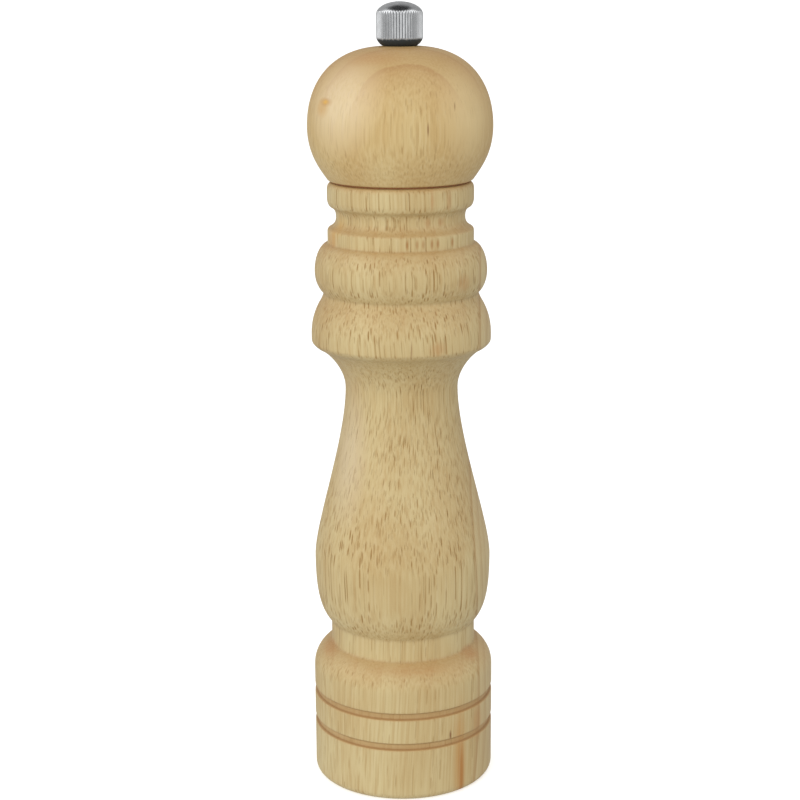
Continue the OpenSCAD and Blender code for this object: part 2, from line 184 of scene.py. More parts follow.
def soften(outline, fine=0.12, step=0.45, worn=None):
    """The closed outline with its corners rounded, and how hollow or sharp each point is.

    Corners are rounded over about three times fine, and over more where worn(r, z) is true.
    """
    round_reach, worn_reach, blend = 3, 8, 6
    loop = np.array(list(outline) + [outline[0]], float)
    along = np.concatenate([[0], np.cumsum(np.hypot(*np.diff(loop, axis=0).T))])
    count = int(along[-1] / fine)
    places = np.linspace(0, along[-1], count, endpoint=False)
    crisp = np.stack([np.interp(places, along, loop[:, k]) for k in (0, 1)], 1)

    def smooth(reach):
        kernel = np.hanning(2 * reach + 3)[1:-1]
        kernel /= kernel.sum()
        wrapped = np.concatenate([crisp[-reach:], crisp, crisp[:reach]])
        return np.stack([np.convolve(wrapped[:, k], kernel, "valid") for k in (0, 1)], 1)

    points = smooth(round_reach)
    if worn:
        used = np.array([float(worn(*p)) for p in crisp])
        wrapped = np.concatenate([used[-blend:], used, used[:blend]])
        even = np.full(2 * blend + 1, 1 / (2 * blend + 1))
        used = np.convolve(wrapped, even, "valid")[:, None]
        points = points * (1 - used) + smooth(worn_reach) * used
    ahead = np.roll(points, -1, 0) - points
    behind = points - np.roll(points, 1, 0)
    turn = behind[:, 0] * ahead[:, 1] - behind[:, 1] * ahead[:, 0]
    turn /= np.hypot(*ahead.T) * np.hypot(*behind.T)
    # Points that turn little are thinned out to about one step apart.
    most_turn = 0.05
    kept, travelled, turned = [], 0.0, 0.0
    for i in range(count):
        travelled += fine
        turned += abs(turn[i])
        if turned > most_turn or travelled >= step:
            kept.append(i)
            travelled = turned = 0.0
    return points[kept], turn[kept]


# ---------------------------------------------------------------- meshes


def new_piece(name, mesh, material, body, slot, *replaced):
    piece = bpy.data.objects.new(name, mesh)
    bpy.context.scene.collection.objects.link(piece)
    mesh.materials.clear()
    mesh.materials.append(material)
    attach(piece, body)
    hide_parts(*replaced)
    return piece


def grid_mesh(name, rings, closed_loop, sharp=40):
    """Joins rings, each a list of points in millimetres, into one closed surface."""
    count = len(rings[0])
    mesh = bpy.data.meshes.new(name)
    points = [tuple(c * MM for c in p) for ring in rings for p in ring]
    faces = []
    for i in range(len(rings) if closed_loop else len(rings) - 1):
        low, high = i * count, (i + 1) % len(rings) * count
        for k in range(count):
            n = (k + 1) % count
            faces.append((low + k, low + n, high + n, high + k))
    if not closed_loop:
        last = (len(rings) - 1) * count
        faces.append(tuple(reversed(range(count))))
        faces.append(tuple(range(last, last + count)))
    mesh.from_pydata(points, [], faces)
    mesh.validate()
    bm = bmesh.new()
    bm.from_mesh(mesh)
    bmesh.ops.recalc_face_normals(bm, faces=bm.faces)
    bm.to_mesh(mesh)
    bm.free()
    mesh.shade_smooth()
    mesh.set_sharp_from_angle(angle=math.radians(sharp))
    return mesh


def even_angles(count):
    return [2 * math.pi * k / count for k in range(count)]


def turned_rings(outline, angles, shape=None):
    """Spins an outline. shape(angle, r, z) may change the radius."""
    rings = []
    for r, z in outline:
        reach = [shape(a, r, z) if shape else r for a in angles]
        rings.append([(d * math.cos(a), d * math.sin(a), z) for a, d in zip(angles, reach)])
    return rings


def wooden_mesh(name, outline, worn, segments=144):
    points, turn = soften(outline, step=0.8, worn=worn)
    mesh = grid_mesh(name, turned_rings(points, even_angles(segments)), True, 60)
    marks = mesh.attributes.new("crease", "FLOAT", "POINT")
    # Hollow corners are positive, sharp edges negative.
    marks.data.foreach_set("value", np.repeat(-turn, segments).astype(np.float32))
    return mesh


def helix(angle, z, pitch):
    """1 on the crest of a right-hand thread, 0 at its root."""
    return abs((z / pitch - angle / (2 * math.pi)) % 1.0 - 0.5) * 2


def square_reach(angle, half, corner=0.0):
    """How far a square with its corners cut by corner reaches at an angle."""
    c, s = abs(math.cos(angle)), abs(math.sin(angle))
    return min(half / max(c, s), (2 * half - corner) / (c + s))


def bevelled(node, name, material, body, slot, width):
    """Replaces a CAD node with a copy whose hard edges are rounded."""
    hard_angle = math.radians(50)
    bm = bmesh.new()
    bm.from_mesh(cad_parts[node].data)
    bmesh.ops.remove_doubles(bm, verts=bm.verts, dist=0.002 * MM)
    bmesh.ops.dissolve_limit(bm, angle_limit=math.radians(1), verts=bm.verts, edges=bm.edges)
    hard = [e for e in bm.edges if len(e.link_faces) == 2 and e.calc_face_angle() > hard_angle]
    bmesh.ops.bevel(
        bm, geom=hard, offset=width * MM, segments=2, profile=0.6, affect="EDGES", clamp_overlap=True
    )
    mesh = bpy.data.meshes.new(name)
    bm.to_mesh(mesh)
    bm.free()
    mesh.shade_smooth()
    mesh.set_sharp_from_angle(angle=hard_angle)
    piece = new_piece(name, mesh, material, body, slot, node)
    piece.modifiers.new("even_faces", "WEIGHTED_NORMAL").keep_sharp = True
    return piece


# ---------------------------------------------------------------- materials


class Nodes:
    """A node tree, with a short call for each kind of node."""

    def __init__(self, tree):
        self.tree = tree

    def add(self, kind, inputs=(), output=0, **settings):
        node = self.tree.nodes.new("ShaderNode" + kind)
        for key, value in settings.items():
            setattr(node, key, value)
        for socket, value in dict(inputs).items():
            self.feed(node.inputs[socket], value)
        return node.outputs[output]

    def feed(self, socket, value):
        if isinstance(value, bpy.types.NodeSocket):
            self.tree.links.new(value, socket)
        else:
            socket.default_value = value

    def vector(self, operation, a, b=(0.0, 0.0, 0.0)):
        output = "Value" if operation in ("DISTANCE", "LENGTH") else "Vector"
        return self.add("VectorMath", {0: a, 1: b}, output, operation=operation)

    def part(self, vector, axis):
        return self.add("SeparateXYZ", {0: vector}, axis)

    def math(self, operation, a, b=0.0):
        return self.add("Math", {0: a, 1: b}, operation=operation)

    def product(self, first, *others):
        for other in others:
            first = self.math("MULTIPLY", first, other)
        return first

    def mix(self, factor, a, b):
        return self.add("Mix", {0: factor, 6: a, 7: b}, 2, data_type="RGBA")

    def ramp(self, value, low, high, to_low=0.0, to_high=1.0):
        inputs = {"Value": value, "From Min": low, "From Max": high, "To Min": to_low, "To Max": to_high}
        return self.add("MapRange", inputs)


class Paint(Nodes):
    """One material."""

    def __init__(self, name, **values):
        self.material = bpy.data.materials.new(name)
        self.material.use_nodes = True
        super().__init__(self.material.node_tree)
        self.shader = self.tree.nodes["Principled BSDF"]
        for socket, value in values.items():
            self.shader.inputs[socket.replace("_", " ")].default_value = value

    def place(self):
        """Where a point is on the part, in millimetres."""
        where = self.add("TexCoord", output="Object")
        return self.vector("MULTIPLY", where, (1 / MM, 1 / MM, 1 / MM))

    def noise(self, where, scale, detail=2.0, output="Fac"):
        """scale is how much the pattern repeats in a millimetre along X, Y and Z."""
        where = self.vector("MULTIPLY", where, scale)
        return self.add("TexNoise", {"Vector": where, "Scale": 1.0, "Detail": detail}, output)

    def finish(self, colour=None, roughness=None, height=None, depth=0.0):
        """depth is how deep the bumps are, in millimetres."""
        if colour is not None:
            self.feed(self.shader.inputs["Base Color"], colour)
        if roughness is not None:
            self.feed(self.shader.inputs["Roughness"], roughness)
        if height is not None:
            bump = self.add("Bump", {"Height": height, "Distance": depth * MM, "Strength": 1.0})
            self.feed(self.shader.inputs["Normal"], bump)
        return self.material


def colour(red, green, blue):
    """A linear colour from the 0 to 255 values that a screen shows."""
    linear = [((c / 255 + 0.055) / 1.055) ** 2.4 for c in (red, green, blue)]
    return (*linear, 1.0)


LATE_WOOD = colour(190, 146, 92)
RING_LINE = colour(170, 122, 72)
DARK_FIBRE = colour(180, 144, 90)
PALE_FIBRE = colour(222, 204, 160)
OUTER_WOOD = colour(214, 196, 152)
GROWTH_LINE = colour(166, 120, 68)
SMALL_VESSEL = colour(164, 127, 68)
LARGE_VESSEL = colour(152, 112, 50)
SCORCH = colour(182, 142, 88)
SCORCHED_LIP = colour(140, 96, 50)
# Painted shade for wood that faces up.
PAINTED_UPPER_SHADE = colour(182, 142, 90)
# Painted shade for hollow corners and creases.
PAINTED_HOLLOW_SHADE = colour(140, 100, 56)
WORN_EDGE = colour(172, 134, 84)


class Wood(Paint):
    """Pale, straight-grained wood. Each step tints what the steps before it left. All in millimetres."""

    def __init__(self, name, pale, deep):
        super().__init__(name)
        self.where = self.place()
        self.height = self.part(self.where, "Z")
        self.facing = self.part(self.add("TexCoord", output="Normal"), "Z")
        lean = self.noise(self.where, (0.013, 0.013, 0.013), 1.0, "Color")
        lean = self.vector("MULTIPLY", self.vector("SUBTRACT", lean, (0.5, 0.5, 0.5)), (8.0, 8.0, 0.0))
        self.grain = self.vector("ADD", self.where, lean)
        self.fibres = self.noise(self.grain, (1.7, 1.7, 0.03), 5.0)
        cloud = self.noise(self.grain, (0.06, 0.06, 0.03), 3.0)
        self.tone = self.mix(self.ramp(cloud, 0.36, 0.64), pale, deep)

    def tint(self, factor, shade, strength=None):
        if strength is not None:
            factor = self.math("MULTIPLY", factor, strength)
        self.tone = self.mix(factor, self.tone, shade)

    def rings(self, pith, gap, strength):
        """Growth rings round pith, plain where the surface cuts across them, and faint along the grain."""
        flat = self.vector("MULTIPLY", self.grain, (1.0, 1.0, 0.0))
        wobble = self.noise(self.grain, (0.12, 0.12, 0.01), 2.0)
        away = self.vector("DISTANCE", flat, (*pith, 0.0))
        away = self.math("ADD", away, self.math("MULTIPLY", wobble, 2.5))
        phase = self.math("FRACT", self.math("DIVIDE", away, gap))
        cut = self.ramp(self.facing, 0.05, 0.65, 0.08 * strength, strength)
        late = self.product(self.ramp(phase, 0.4, 1.0), cut)
        line = self.product(self.ramp(phase, 0.82, 0.97), self.ramp(phase, 1.0, 0.97), cut)
        self.tint(late, LATE_WOOD, 0.45)
        self.tint(line, RING_LINE, 0.4)

    def streaks(self):
        self.tint(self.ramp(self.fibres, 0.5, 0.7, 0.0, 0.42), DARK_FIBRE)
        self.tint(self.ramp(self.fibres, 0.5, 0.32, 0.0, 0.22), PALE_FIBRE)

    def tubes(self, gap, radius, run):
        """Tubes along Z, about gap apart, flattened towards the axis, so that a cut across them is long.

        Each has its own darkness, and comes and goes over about run.
        """
        mean_r, flattened = 22.0, 0.6
        angle = self.math("ARCTAN2", self.part(self.grain, "Y"), self.part(self.grain, "X"))
        around = self.product(angle, mean_r / gap)
        squeeze = (flattened / gap, flattened / gap, 0.0)
        out = self.vector("LENGTH", self.vector("MULTIPLY", self.grain, squeeze))
        section = self.add("CombineXYZ", {"X": around, "Y": out})
        away = self.add("TexVoronoi", {"Vector": section, "Scale": 1.0}, "Distance", voronoi_dimensions="2D")
        tint = away.node.outputs["Color"]
        seed = self.vector("MULTIPLY", tint, (60.0, 60.0, 60.0))
        along = self.vector("MULTIPLY", self.grain, (0.0, 0.0, 1 / run))
        stretch = self.noise(self.vector("ADD", seed, along), (1.0, 1.0, 1.0), 0.0)
        inside = self.ramp(away, 1.2 * radius / gap, 0.7 * radius / gap)
        return self.product(inside, self.ramp(stretch, 0.43, 0.53), self.ramp(self.part(tint, "X"), 0.0, 0.7))

    def boundary(self, x, swing, repeat, middle):
        """A wavy growth line at about x, with paler wood past it. Says how far past it a point is, 0 to 1."""
        turns = self.math("MULTIPLY", self.math("SUBTRACT", self.height, middle), 2 * math.pi / repeat)
        wave = self.math("ADD", self.math("MULTIPLY", self.math("COSINE", turns), swing), x)
        past = self.math("SUBTRACT", self.part(self.grain, "X"), wave)
        outside = self.ramp(past, -0.1, 0.3)
        self.tint(outside, OUTER_WOOD, 0.3)
        for further, strength in ((0.0, 0.5), (1.9, 0.3), (3.2, 0.2)):
            rise = self.ramp(past, further - 0.9, further - 0.05)
            fall = self.ramp(past, further + 0.15, further)
            self.tint(self.product(rise, fall), GROWTH_LINE, strength)
        return outside

    def vessels(self, strength, boundary):
        """Large and small vessels. One cut across is a deep hole, and one cut along is a shallow channel."""
        patch = self.ramp(self.noise(self.grain, (0.09, 0.09, 0.04), 2.0), 0.34, 0.54, 0.4, 1.0)
        slope = self.math("ABSOLUTE", self.facing)
        shown = self.product(self.ramp(slope, 0.0, 0.16, 0.75, 1.0), self.ramp(slope, 0.45, 0.8, 1.0, 0.35))
        # Low down, the blank is closer grained.
        shown = self.product(shown, self.ramp(self.height, 34.0, 44.0, 0.6, 1.0))
        large = self.product(self.tubes(gap=0.72, radius=0.2, run=5.0), patch, shown, strength)
        small = self.product(self.tubes(gap=0.42, radius=0.1, run=8.0), shown, strength)
        if boundary:
            outside = self.boundary(*boundary)
            large = self.math("MULTIPLY", large, self.math("SUBTRACT", 1.0, outside))
            small = self.math("MULTIPLY", small, self.ramp(outside, 0.0, 1.0, 1.0, 0.5))
        self.tint(small, SMALL_VESSEL, 0.5)
        self.tint(large, LARGE_VESSEL, 0.85)
        return self.math("ADD", large, small)

    def stain_and_sheen_patch(self, centre, size, shade, strength):
        """A soft, oval patch that is streaky along the grain, for a stain and for a painted sheen."""
        away = self.vector("DIVIDE", self.vector("SUBTRACT", self.where, centre), size)
        near = self.ramp(self.vector("LENGTH", away), 1.0, 0.3, 0.0, strength)
        self.tint(self.product(near, self.ramp(self.fibres, 0.35, 0.6, 0.6, 1.0)), shade)

    def scorch(self, low, high, radius):
        """Darkens what lies between two heights and inside radius, and more so a lip that faces up."""
        out = self.vector("LENGTH", self.vector("MULTIPLY", self.where, (1.0, 1.0, 0.0)))
        band = self.product(self.ramp(self.height, low - 0.1, low), self.ramp(self.height, high + 0.1, high))
        # The bores, further in, stay pale.
        not_bores = self.ramp(out, radius - 3.0, radius - 2.0)
        within = self.product(band, not_bores, self.ramp(out, radius, radius - 0.25))
        self.tint(within, SCORCH, 0.6)
        self.tint(self.product(within, self.ramp(self.facing, 0.1, 0.7)), SCORCHED_LIP, 0.6)

    def painted_shade_and_edge_wear(self):
        """Paints shade on what faces up and in hollow corners, and darkens sharp edges as wear."""
        self.tint(self.ramp(self.facing, 0.1, 0.9, 0.0, 0.5), PAINTED_UPPER_SHADE)
        crease = self.add("Attribute", output="Fac", attribute_name="crease")
        self.tint(self.ramp(crease, 0.01, 0.2, 0.0, 0.25), PAINTED_HOLLOW_SHADE)
        self.tint(self.ramp(crease, -0.03, -0.3, 0.0, 0.2), WORN_EDGE)


def wood(name, pale, deep, pith, ring_gap, rings, pores, stains_and_sheen, boundary=None, scorched=None):
    """Turned wood whose growth rings run round pith, an (x, y). All in millimetres.

    rings and pores say how strongly those show. Patches of stain and of painted sheen are each (centre, size,
    colour, strength). boundary is (x, swing, repeat, middle), a wavy growth line with few pores past it.
    scorched is (low, high, radius).
    """
    n = Wood(name, pale, deep)
    n.rings(pith, ring_gap, rings)
    n.streaks()
    holes = n.vessels(pores, boundary)
    for each in stains_and_sheen:
        n.stain_and_sheen_patch(*each)
    if scorched:
        n.scorch(*scorched)
    n.painted_shade_and_edge_wear()
    relief = n.math("SUBTRACT", n.math("MULTIPLY", n.fibres, 0.2), holes)
    return n.finish(n.tone, n.ramp(n.fibres, 0.3, 0.7, 0.44, 0.6), relief, 0.06)


def metal(name, shade, rough, rough_change=0.06, brush=(0.5, 0.5, 0.5), depth=0.004):
    """Bare or plated metal, finely scuffed. brush is how close the scuffs lie along X, Y and Z."""
    n = Paint(name, Metallic=1.0)
    place = n.place()
    scuff = n.noise(place, brush, 4.0)
    cloud = n.noise(place, (0.15, 0.15, 0.15), 2.0)
    tone = n.mix(n.ramp(cloud, 0.35, 0.65, 0.0, 0.5), shade, [c * 0.86 for c in shade[:3]] + [1.0])
    roughness = n.ramp(scuff, 0.3, 0.7, rough - rough_change / 2, rough + rough_change)
    return n.finish(tone, roughness, scuff, depth)


def chrome_with_painted_dark_chamfer(name, edge_z):
    """Chrome over the knurl and dome. Below edge_z, on the lower chamfer, a painted dark reflection that is
    not metal.
    """
    n = Paint(name, Metallic=1.0)
    place = n.place()
    scuff = n.noise(place, (1.4, 1.4, 0.5), 4.0)
    bright = n.mix(n.ramp(scuff, 0.35, 0.65, 0.0, 0.6), (0.7, 0.71, 0.72, 1.0), (0.5, 0.51, 0.52, 1.0))
    below = n.ramp(n.math("ADD", n.part(place, "Z"), scuff), edge_z + 0.75, edge_z + 0.25)
    tone = n.mix(below, bright, (0.026, 0.035, 0.042, 1.0))
    n.feed(n.shader.inputs["Metallic"], n.math("SUBTRACT", 1.0, below))
    roughness = n.math("ADD", n.ramp(scuff, 0.3, 0.7, 0.18, 0.32), n.math("MULTIPLY", below, 0.3))
    return n.finish(tone, roughness, scuff, 0.01)


def fibre(name):
    n = Paint(name, Metallic=0.0)
    speck = n.noise(n.place(), (2.5, 2.5, 2.5), 4.0)
    tone = n.mix(n.ramp(speck, 0.3, 0.7), colour(126, 82, 48), colour(160, 108, 66))
    return n.finish(tone, n.ramp(speck, 0.3, 0.7, 0.7, 0.9), speck, 0.05)


body_wood = wood(
    "body_wood",
    pale=colour(207, 188, 138),
    deep=colour(196, 171, 119),
    pith=(-62.0, -8.0),
    ring_gap=7.3,
    rings=0.35,
    pores=1.0,
    stains_and_sheen=[
        ((15.4, -19.6, 9.0), (2.4, 4.0, 22.0), colour(190, 142, 78), 0.8),
        ((15.8, -19.2, 6.0), (1.1, 3.0, 12.0), colour(174, 116, 50), 0.95),
        ((20.4, -14.0, 19.0), (2.0, 4.0, 7.0), colour(184, 130, 74), 0.5),
        # Painted sheen: a pale patch along the left of the neck.
        ((-15.0, -12.0, 96.0), (7.0, 12.0, 24.0), colour(224, 208, 174), 0.6),
        ((12.8, -21.6, 18.0), (0.4, 2.0, 1.8), colour(128, 86, 46), 0.9),
        ((-20.0, -6.0, 38.0), (4.0, 7.0, 2.4), colour(186, 130, 76), 0.6),
        ((18.0, -10.5, 37.6), (4.0, 5.0, 2.6), colour(186, 128, 76), 0.7),
        ((4.0, -22.0, 37.0), (16.0, 5.0, 1.6), colour(190, 142, 86), 0.4),
        ((-16.6, -9.0, 156.5), (3.0, 5.0, 4.0), colour(214, 174, 100), 0.7),
        ((-17.8, -7.0, 152.6), (2.4, 5.0, 4.0), colour(204, 152, 84), 0.6),
        ((12.6, -15.0, 163.6), (0.8, 3.0, 3.6), colour(184, 134, 80), 0.6),
        ((8.2, -17.8, 164.0), (0.7, 3.0, 3.2), colour(184, 134, 80), 0.5),
        ((7.0, -15.8, 158.0), (1.0, 3.0, 1.6), colour(176, 128, 76), 0.6),
        ((10.4, -13.8, 158.0), (1.0, 3.0, 1.6), colour(176, 128, 76), 0.6),
        ((2.6, -24.2, 126.0), (0.25, 2.0, 3.2), colour(140, 94, 50), 0.9),
        ((9.6, -22.4, 126.0), (3.0, 4.0, 2.6), colour(184, 136, 82), 0.5),
        ((16.4, -16.4, 142.2), (2.6, 4.0, 3.0), colour(180, 130, 76), 0.5),
    ]
    + [
        ((x, -math.sqrt(COLLAR_R**2 - x * x), 152.8), (0.5, 2.0, 1.7), colour(160, 108, 50), 0.75)
        for x in (1.6, 4.2, 5.8, 8.0, 9.6, 13.4)
    ],
    boundary=(20.2, 1.1, 125.0, 30.0),
    scorched=(14.6, 26.0, BASE_R - 0.05),
)
head_wood = wood(
    "head_wood",
    pale=colour(211, 186, 131),
    deep=colour(201, 170, 112),
    pith=(3.0, -62.5),
    ring_gap=9.5,
    rings=1.0,
    pores=0.4,
    stains_and_sheen=[
        # Painted sheen: broad pale patches on the head's left and right.
        ((-15.0, -17.0, 191.0), (13.0, 14.0, 17.0), colour(240, 222, 186), 0.65),
        ((17.0, -15.0, 187.0), (11.0, 13.0, 16.0), colour(230, 208, 158), 0.6),
        ((-20.0, -13.6, 187.6), (2.4, 4.0, 3.0), colour(206, 160, 90), 0.6),
        ((-19.2, -14.4, 189.0), (2.6, 4.0, 1.3), colour(184, 130, 64), 0.6),
        ((-19.2, -14.4, 189.0), (1.3, 3.0, 0.8), colour(226, 178, 84), 0.9),
        ((13.8, -20.2, 188.2), (0.3, 2.0, 1.6), colour(140, 98, 54), 0.8),
        ((7.0, -23.4, 182.6), (0.3, 2.0, 2.2), colour(134, 92, 50), 0.9),
        ((-8.0, -14.0, 200.0), (12.0, 8.0, 2.4), colour(196, 142, 88), 0.5),
    ],
)
brass = metal("insert_brass", (0.72, 0.53, 0.24, 1.0), 0.3, 0.1, (1.5, 1.5, 8.0))
plated = metal("pressed_steel", (0.5, 0.51, 0.52, 1.0), 0.34, 0.14, (0.6, 4.0, 0.6))
bright = metal("screw_steel", (0.6, 0.6, 0.61, 1.0), 0.26, 0.1, (3.0, 3.0, 3.0))
drawn = metal("rod_aluminium", (0.68, 0.69, 0.71, 1.0), 0.3, 0.12, (6.0, 6.0, 0.12), 0.01)
wire = metal("spring_steel", (0.34, 0.34, 0.36, 1.0), 0.28, 0.1, (2.0, 2.0, 2.0))
burr = metal("burr_steel", (0.17, 0.17, 0.18, 1.0), 0.42, 0.15, (2.0, 2.0, 2.0), 0.01)

# ---------------------------------------------------------------- wooden pieces

new_piece(
    "turned_body",
    wooden_mesh("turned_body", body_outline(), lambda r, z: r > OUTER_WALL_R and z > BASE_H),
    body_wood,
    "barrel",
    "body_wood",
    "body",
)
new_piece(
    "turned_head",
    wooden_mesh("turned_head", head_outline(), lambda r, z: r > TENON_R + 1),
    head_wood,
    "head",
    "head_wood",
    "head",
)

# ---------------------------------------------------------------- finial

RIBS = 48


def finial_outline():
    bottom, top, bore_r, bore_top = HEAD_TOP, FINIAL_TOP, 3.5, FINIAL_TOP - 2.5
    foot_r, chamfer, dome, steps = 4.3, 2.3, 3.35, 26
    p = [(bore_r, bottom), (foot_r, bottom)]
    p += bulge(p[-1], (FINIAL_R, bottom + chamfer), 3.2, 10)
    p += [(FINIAL_R, top - dome)]
    for i in range(1, steps + 1):
        a = math.pi / 2 * i / steps
        p.append((max(FINIAL_R * math.cos(a), 0.02), top - dome + dome * math.sin(a)))
    p += [(0.02, bore_top), (bore_r, bore_top)]
    return p


def knurl(angle, r, z):
    """V-shaped ribs that run out into the dome above and the chamfer below."""
    depth = 0.32
    root = FINIAL_R - depth
    wave = abs((angle * RIBS / (2 * math.pi)) % 1.0 - 0.5) * 2
    return min(r, root + depth * (1 - wave**1.3)) if r > root else r


def finial_mesh():
    points, _ = soften(finial_outline(), 0.04, 0.3)
    return grid_mesh("knurled_finial", turned_rings(points, even_angles(RIBS * 8), knurl), True, 50)


chrome = chrome_with_painted_dark_chamfer("finial_chrome", HEAD_TOP + 1.9)
new_piece("knurled_finial", finial_mesh(), chrome, "finial", "finial_chrome", "finial_nut")


def insert_mesh():
    """A bush with a thread all the way through it."""
    low, high = span("finial_insert")
    outer, bore, bevel = radius("finial_insert"), THREAD_R + 0.08, 0.3
    bottom, top = low[2], high[2]
    p = [(bore + bevel, bottom), (outer - bevel, bottom), (outer, bottom + bevel), (outer, top - bevel)]
    p += [(outer - bevel, top), (bore + bevel, top)]
    step = 0.1
    steps = int((top - bottom - 2 * bevel) / step)
    p += [(bore, top - bevel - step * i) for i in range(steps + 1)]

    def thread(angle, r, z):
        return r + 0.35 * helix(angle, z, THREAD_PITCH) if r < bore + 0.1 else r

    return grid_mesh("threaded_insert", turned_rings(p, even_angles(48), thread), True)


new_piece("threaded_insert", insert_mesh(), brass, "finial", "insert_brass", "finial_insert")

# ---------------------------------------------------------------- spindle


def spindle_mesh():
    """The journal with its clip groove, the square rod, and the thread, from the bottom up."""
    low, high = span("spindle")
    half, journal_r, thread_depth = high[0], 2.9, 0.5
    root_r = THREAD_R - thread_depth
    square_z, thread_z = span("rotor")[0][2] + 2.8, HEAD_TOP - 7.4
    groove_low, groove_high, groove_r = square_z - 1.7, square_z - 0.8, 2.32
    quarter = [-38.66, -30, -20, -10, 0, 10, 20, 30, 38.66, 42, 45, 48]
    angles = [math.radians(90 * q + d) for q in range(4) for d in quarter]
    square = [square_reach(a, half, 0.6) for a in angles]
    rings = []

    def ring(z, reach):
        if isinstance(reach, float):
            reach = [reach] * len(angles)
        rings.append([(d * math.cos(a), d * math.sin(a), z) for a, d in zip(angles, reach)])

    ring(low[2], journal_r - 0.4)
    ring(low[2] + 0.4, journal_r)
    ring(groove_low, journal_r)
    ring(groove_low, groove_r)
    ring(groove_high, groove_r)
    ring(groove_high, journal_r)
    ring(square_z, journal_r)
    ring(square_z, [d * 0.93 for d in square])
    ring(square_z + 0.3, square)
    ring(thread_z - 0.5, square)
    ring(thread_z, [d * 0.84 for d in square])
    ring(thread_z, root_r)
    start, stop, step = thread_z + 0.8, high[2] - 0.6, 0.1
    for i in range(int((stop - start) / step) + 1):
        z = start + i * step
        fade = min(1.0, (z - start) / 0.8, (stop - z) / 0.4 + 0.2)
        ring(z, [root_r + thread_depth * fade * helix(a, z, THREAD_PITCH) for a in angles])
    ring(high[2], root_r - 0.4)
    return grid_mesh("square_spindle", rings, False, 35)


new_piece("square_spindle", spindle_mesh(), drawn, "spindle", "rod_aluminium", "spindle")

# ---------------------------------------------------------------- spring


def spring_mesh():
    """A coil of round wire, whose first and last turns lie close."""
    low, high = span("spring")
    wire_r, turns, sides, steps = 0.5, 6, 14, 40
    coil_r = radius("spring") - wire_r
    rise = high[2] - low[2] - 2 * wire_r
    close, end = 2 * wire_r * 1.04, 0.9
    u = np.linspace(0, turns, turns * steps + 1)
    z = np.interp(u, [0, end, turns - end, turns], [0, close * end, rise - close * end, rise])
    kernel = np.hanning(19)[1:-1]
    reach = len(kernel) // 2
    padded = np.concatenate([z[0] - (z[reach:0:-1] - z[0]), z, z[-1] + (z[-1] - z[-2 : -reach - 2 : -1])])
    z = low[2] + wire_r + np.convolve(padded, kernel / kernel.sum(), "valid")
    rings = []
    for turn, level in zip(u, z):
        a = 2 * math.pi * turn
        ring = []
        for k in range(sides):
            b = 2 * math.pi * k / sides
            r = coil_r + wire_r * math.cos(b)
            ring.append((r * math.cos(a), r * math.sin(a), level + wire_r * math.sin(b)))
        rings.append(ring)
    return grid_mesh("coil_spring", rings, False)


coil = new_piece("coil_spring", spring_mesh(), wire, "barrel", "spring_steel", "spring")
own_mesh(coil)

# ---------------------------------------------------------------- burrs

TEETH = 18
TOOTH_LEAN = 0.12


def sawtooth(turns):
    """Rises slowly to 1 and falls back fast."""
    t = turns % 1.0
    return t / 0.75 if t < 0.75 else (1 - t) / 0.25


def rotor_mesh():
    low, high = span("rotor")
    foot_r, waist_r = radius("rotor"), radius("rotor") - 1.5
    bottom, top, foot_z = low[2], high[2], low[2] + 0.65
    waist_z, pocket_z, pocket_r = foot_z + 5.0, bottom + 2.8, 6.0
    # The bore is square, and past round_r the burr is round.
    bore, round_r = 3.05, 4.4
    p = [(pocket_r, bottom), (foot_r - 0.4, bottom), (foot_r, foot_z), (waist_r, waist_z)]
    p += [(5.6, top - 0.6), (5.2, top), (bore, top), (bore, pocket_z), (pocket_r, pocket_z)]
    points, _ = soften(p, 0.1, 0.35)

    def teeth(angle, r, z):
        turns = angle / (2 * math.pi)
        if r < round_r:
            square = square_reach(angle, bore, 0.1)
            return square + max(r - bore, 0.0) * (round_r - square) / (round_r - bore)
        if z < pocket_z + 0.3 and r < pocket_r + 0.3:
            return r
        if z < waist_z:
            fade = min(1.0, (z - bottom) / 0.6, (waist_z - z) / 0.8 + 0.3)
            return r - 0.55 * fade * (1 - sawtooth(TEETH * turns + TOOTH_LEAN * (z - foot_z)))
        deep = min(1.5, max(r - 4.9, 0.0)) * min(1.0, (z - waist_z) / 1.0 + 0.3)
        return r - deep * (1 - sawtooth(3 * turns + 0.09 * (z - waist_z))) ** 2

    return grid_mesh("toothed_rotor", turned_rings(points, even_angles(TEETH * 12), teeth), True, 32)


def stator_mesh():
    low, high = span("stator")
    outer, bottom, top = radius("stator"), low[2], high[2]
    foot_r, throat_r, throat_z = outer - 1.15, outer - 2.65, bottom + 4.95
    p = [(foot_r, bottom), (outer, bottom), (outer, top), (outer - 0.7, top)]
    p += [(throat_r + 0.2, top - 2), (throat_r, throat_z)]
    points, _ = soften(p, 0.1, 0.35)

    def teeth(angle, r, z):
        turns = angle / (2 * math.pi)
        if r > outer - 0.75:
            return r
        if z < throat_z:
            fade = min(1.0, (throat_z - z) / 0.8 + 0.3)
            return r + 0.5 * fade * sawtooth(TEETH * turns - TOOTH_LEAN * (z - bottom))
        fade = min(1.0, (z - throat_z) / 0.8)
        return r + 0.4 * fade * sawtooth(6 * turns - 0.03 * (z - throat_z))

    return grid_mesh("toothed_stator", turned_rings(points, even_angles(TEETH * 12), teeth), True, 32)


new_piece("toothed_rotor", rotor_mesh(), burr, "thrust", "burr_steel", "rotor")
new_piece("toothed_stator", stator_mesh(), burr, "barrel", "burr_steel", "stator")

# ---------------------------------------------------------------- screws


def prism(corners, bottom, top, shrink):
    """The two rings of an upright prism, in millimetres, that narrows towards its top."""
    return [[(x, y, bottom) for x, y in corners], [(x * shrink, y * shrink, top) for x, y in corners]]


def merge(name, meshes):
    """One mesh out of several."""
    bm = bmesh.new()
    for mesh in meshes:
        bm.from_mesh(mesh)
        bpy.data.meshes.remove(mesh)
    joined = bpy.data.meshes.new(name)
    bm.to_mesh(joined)
    bm.free()
    return joined


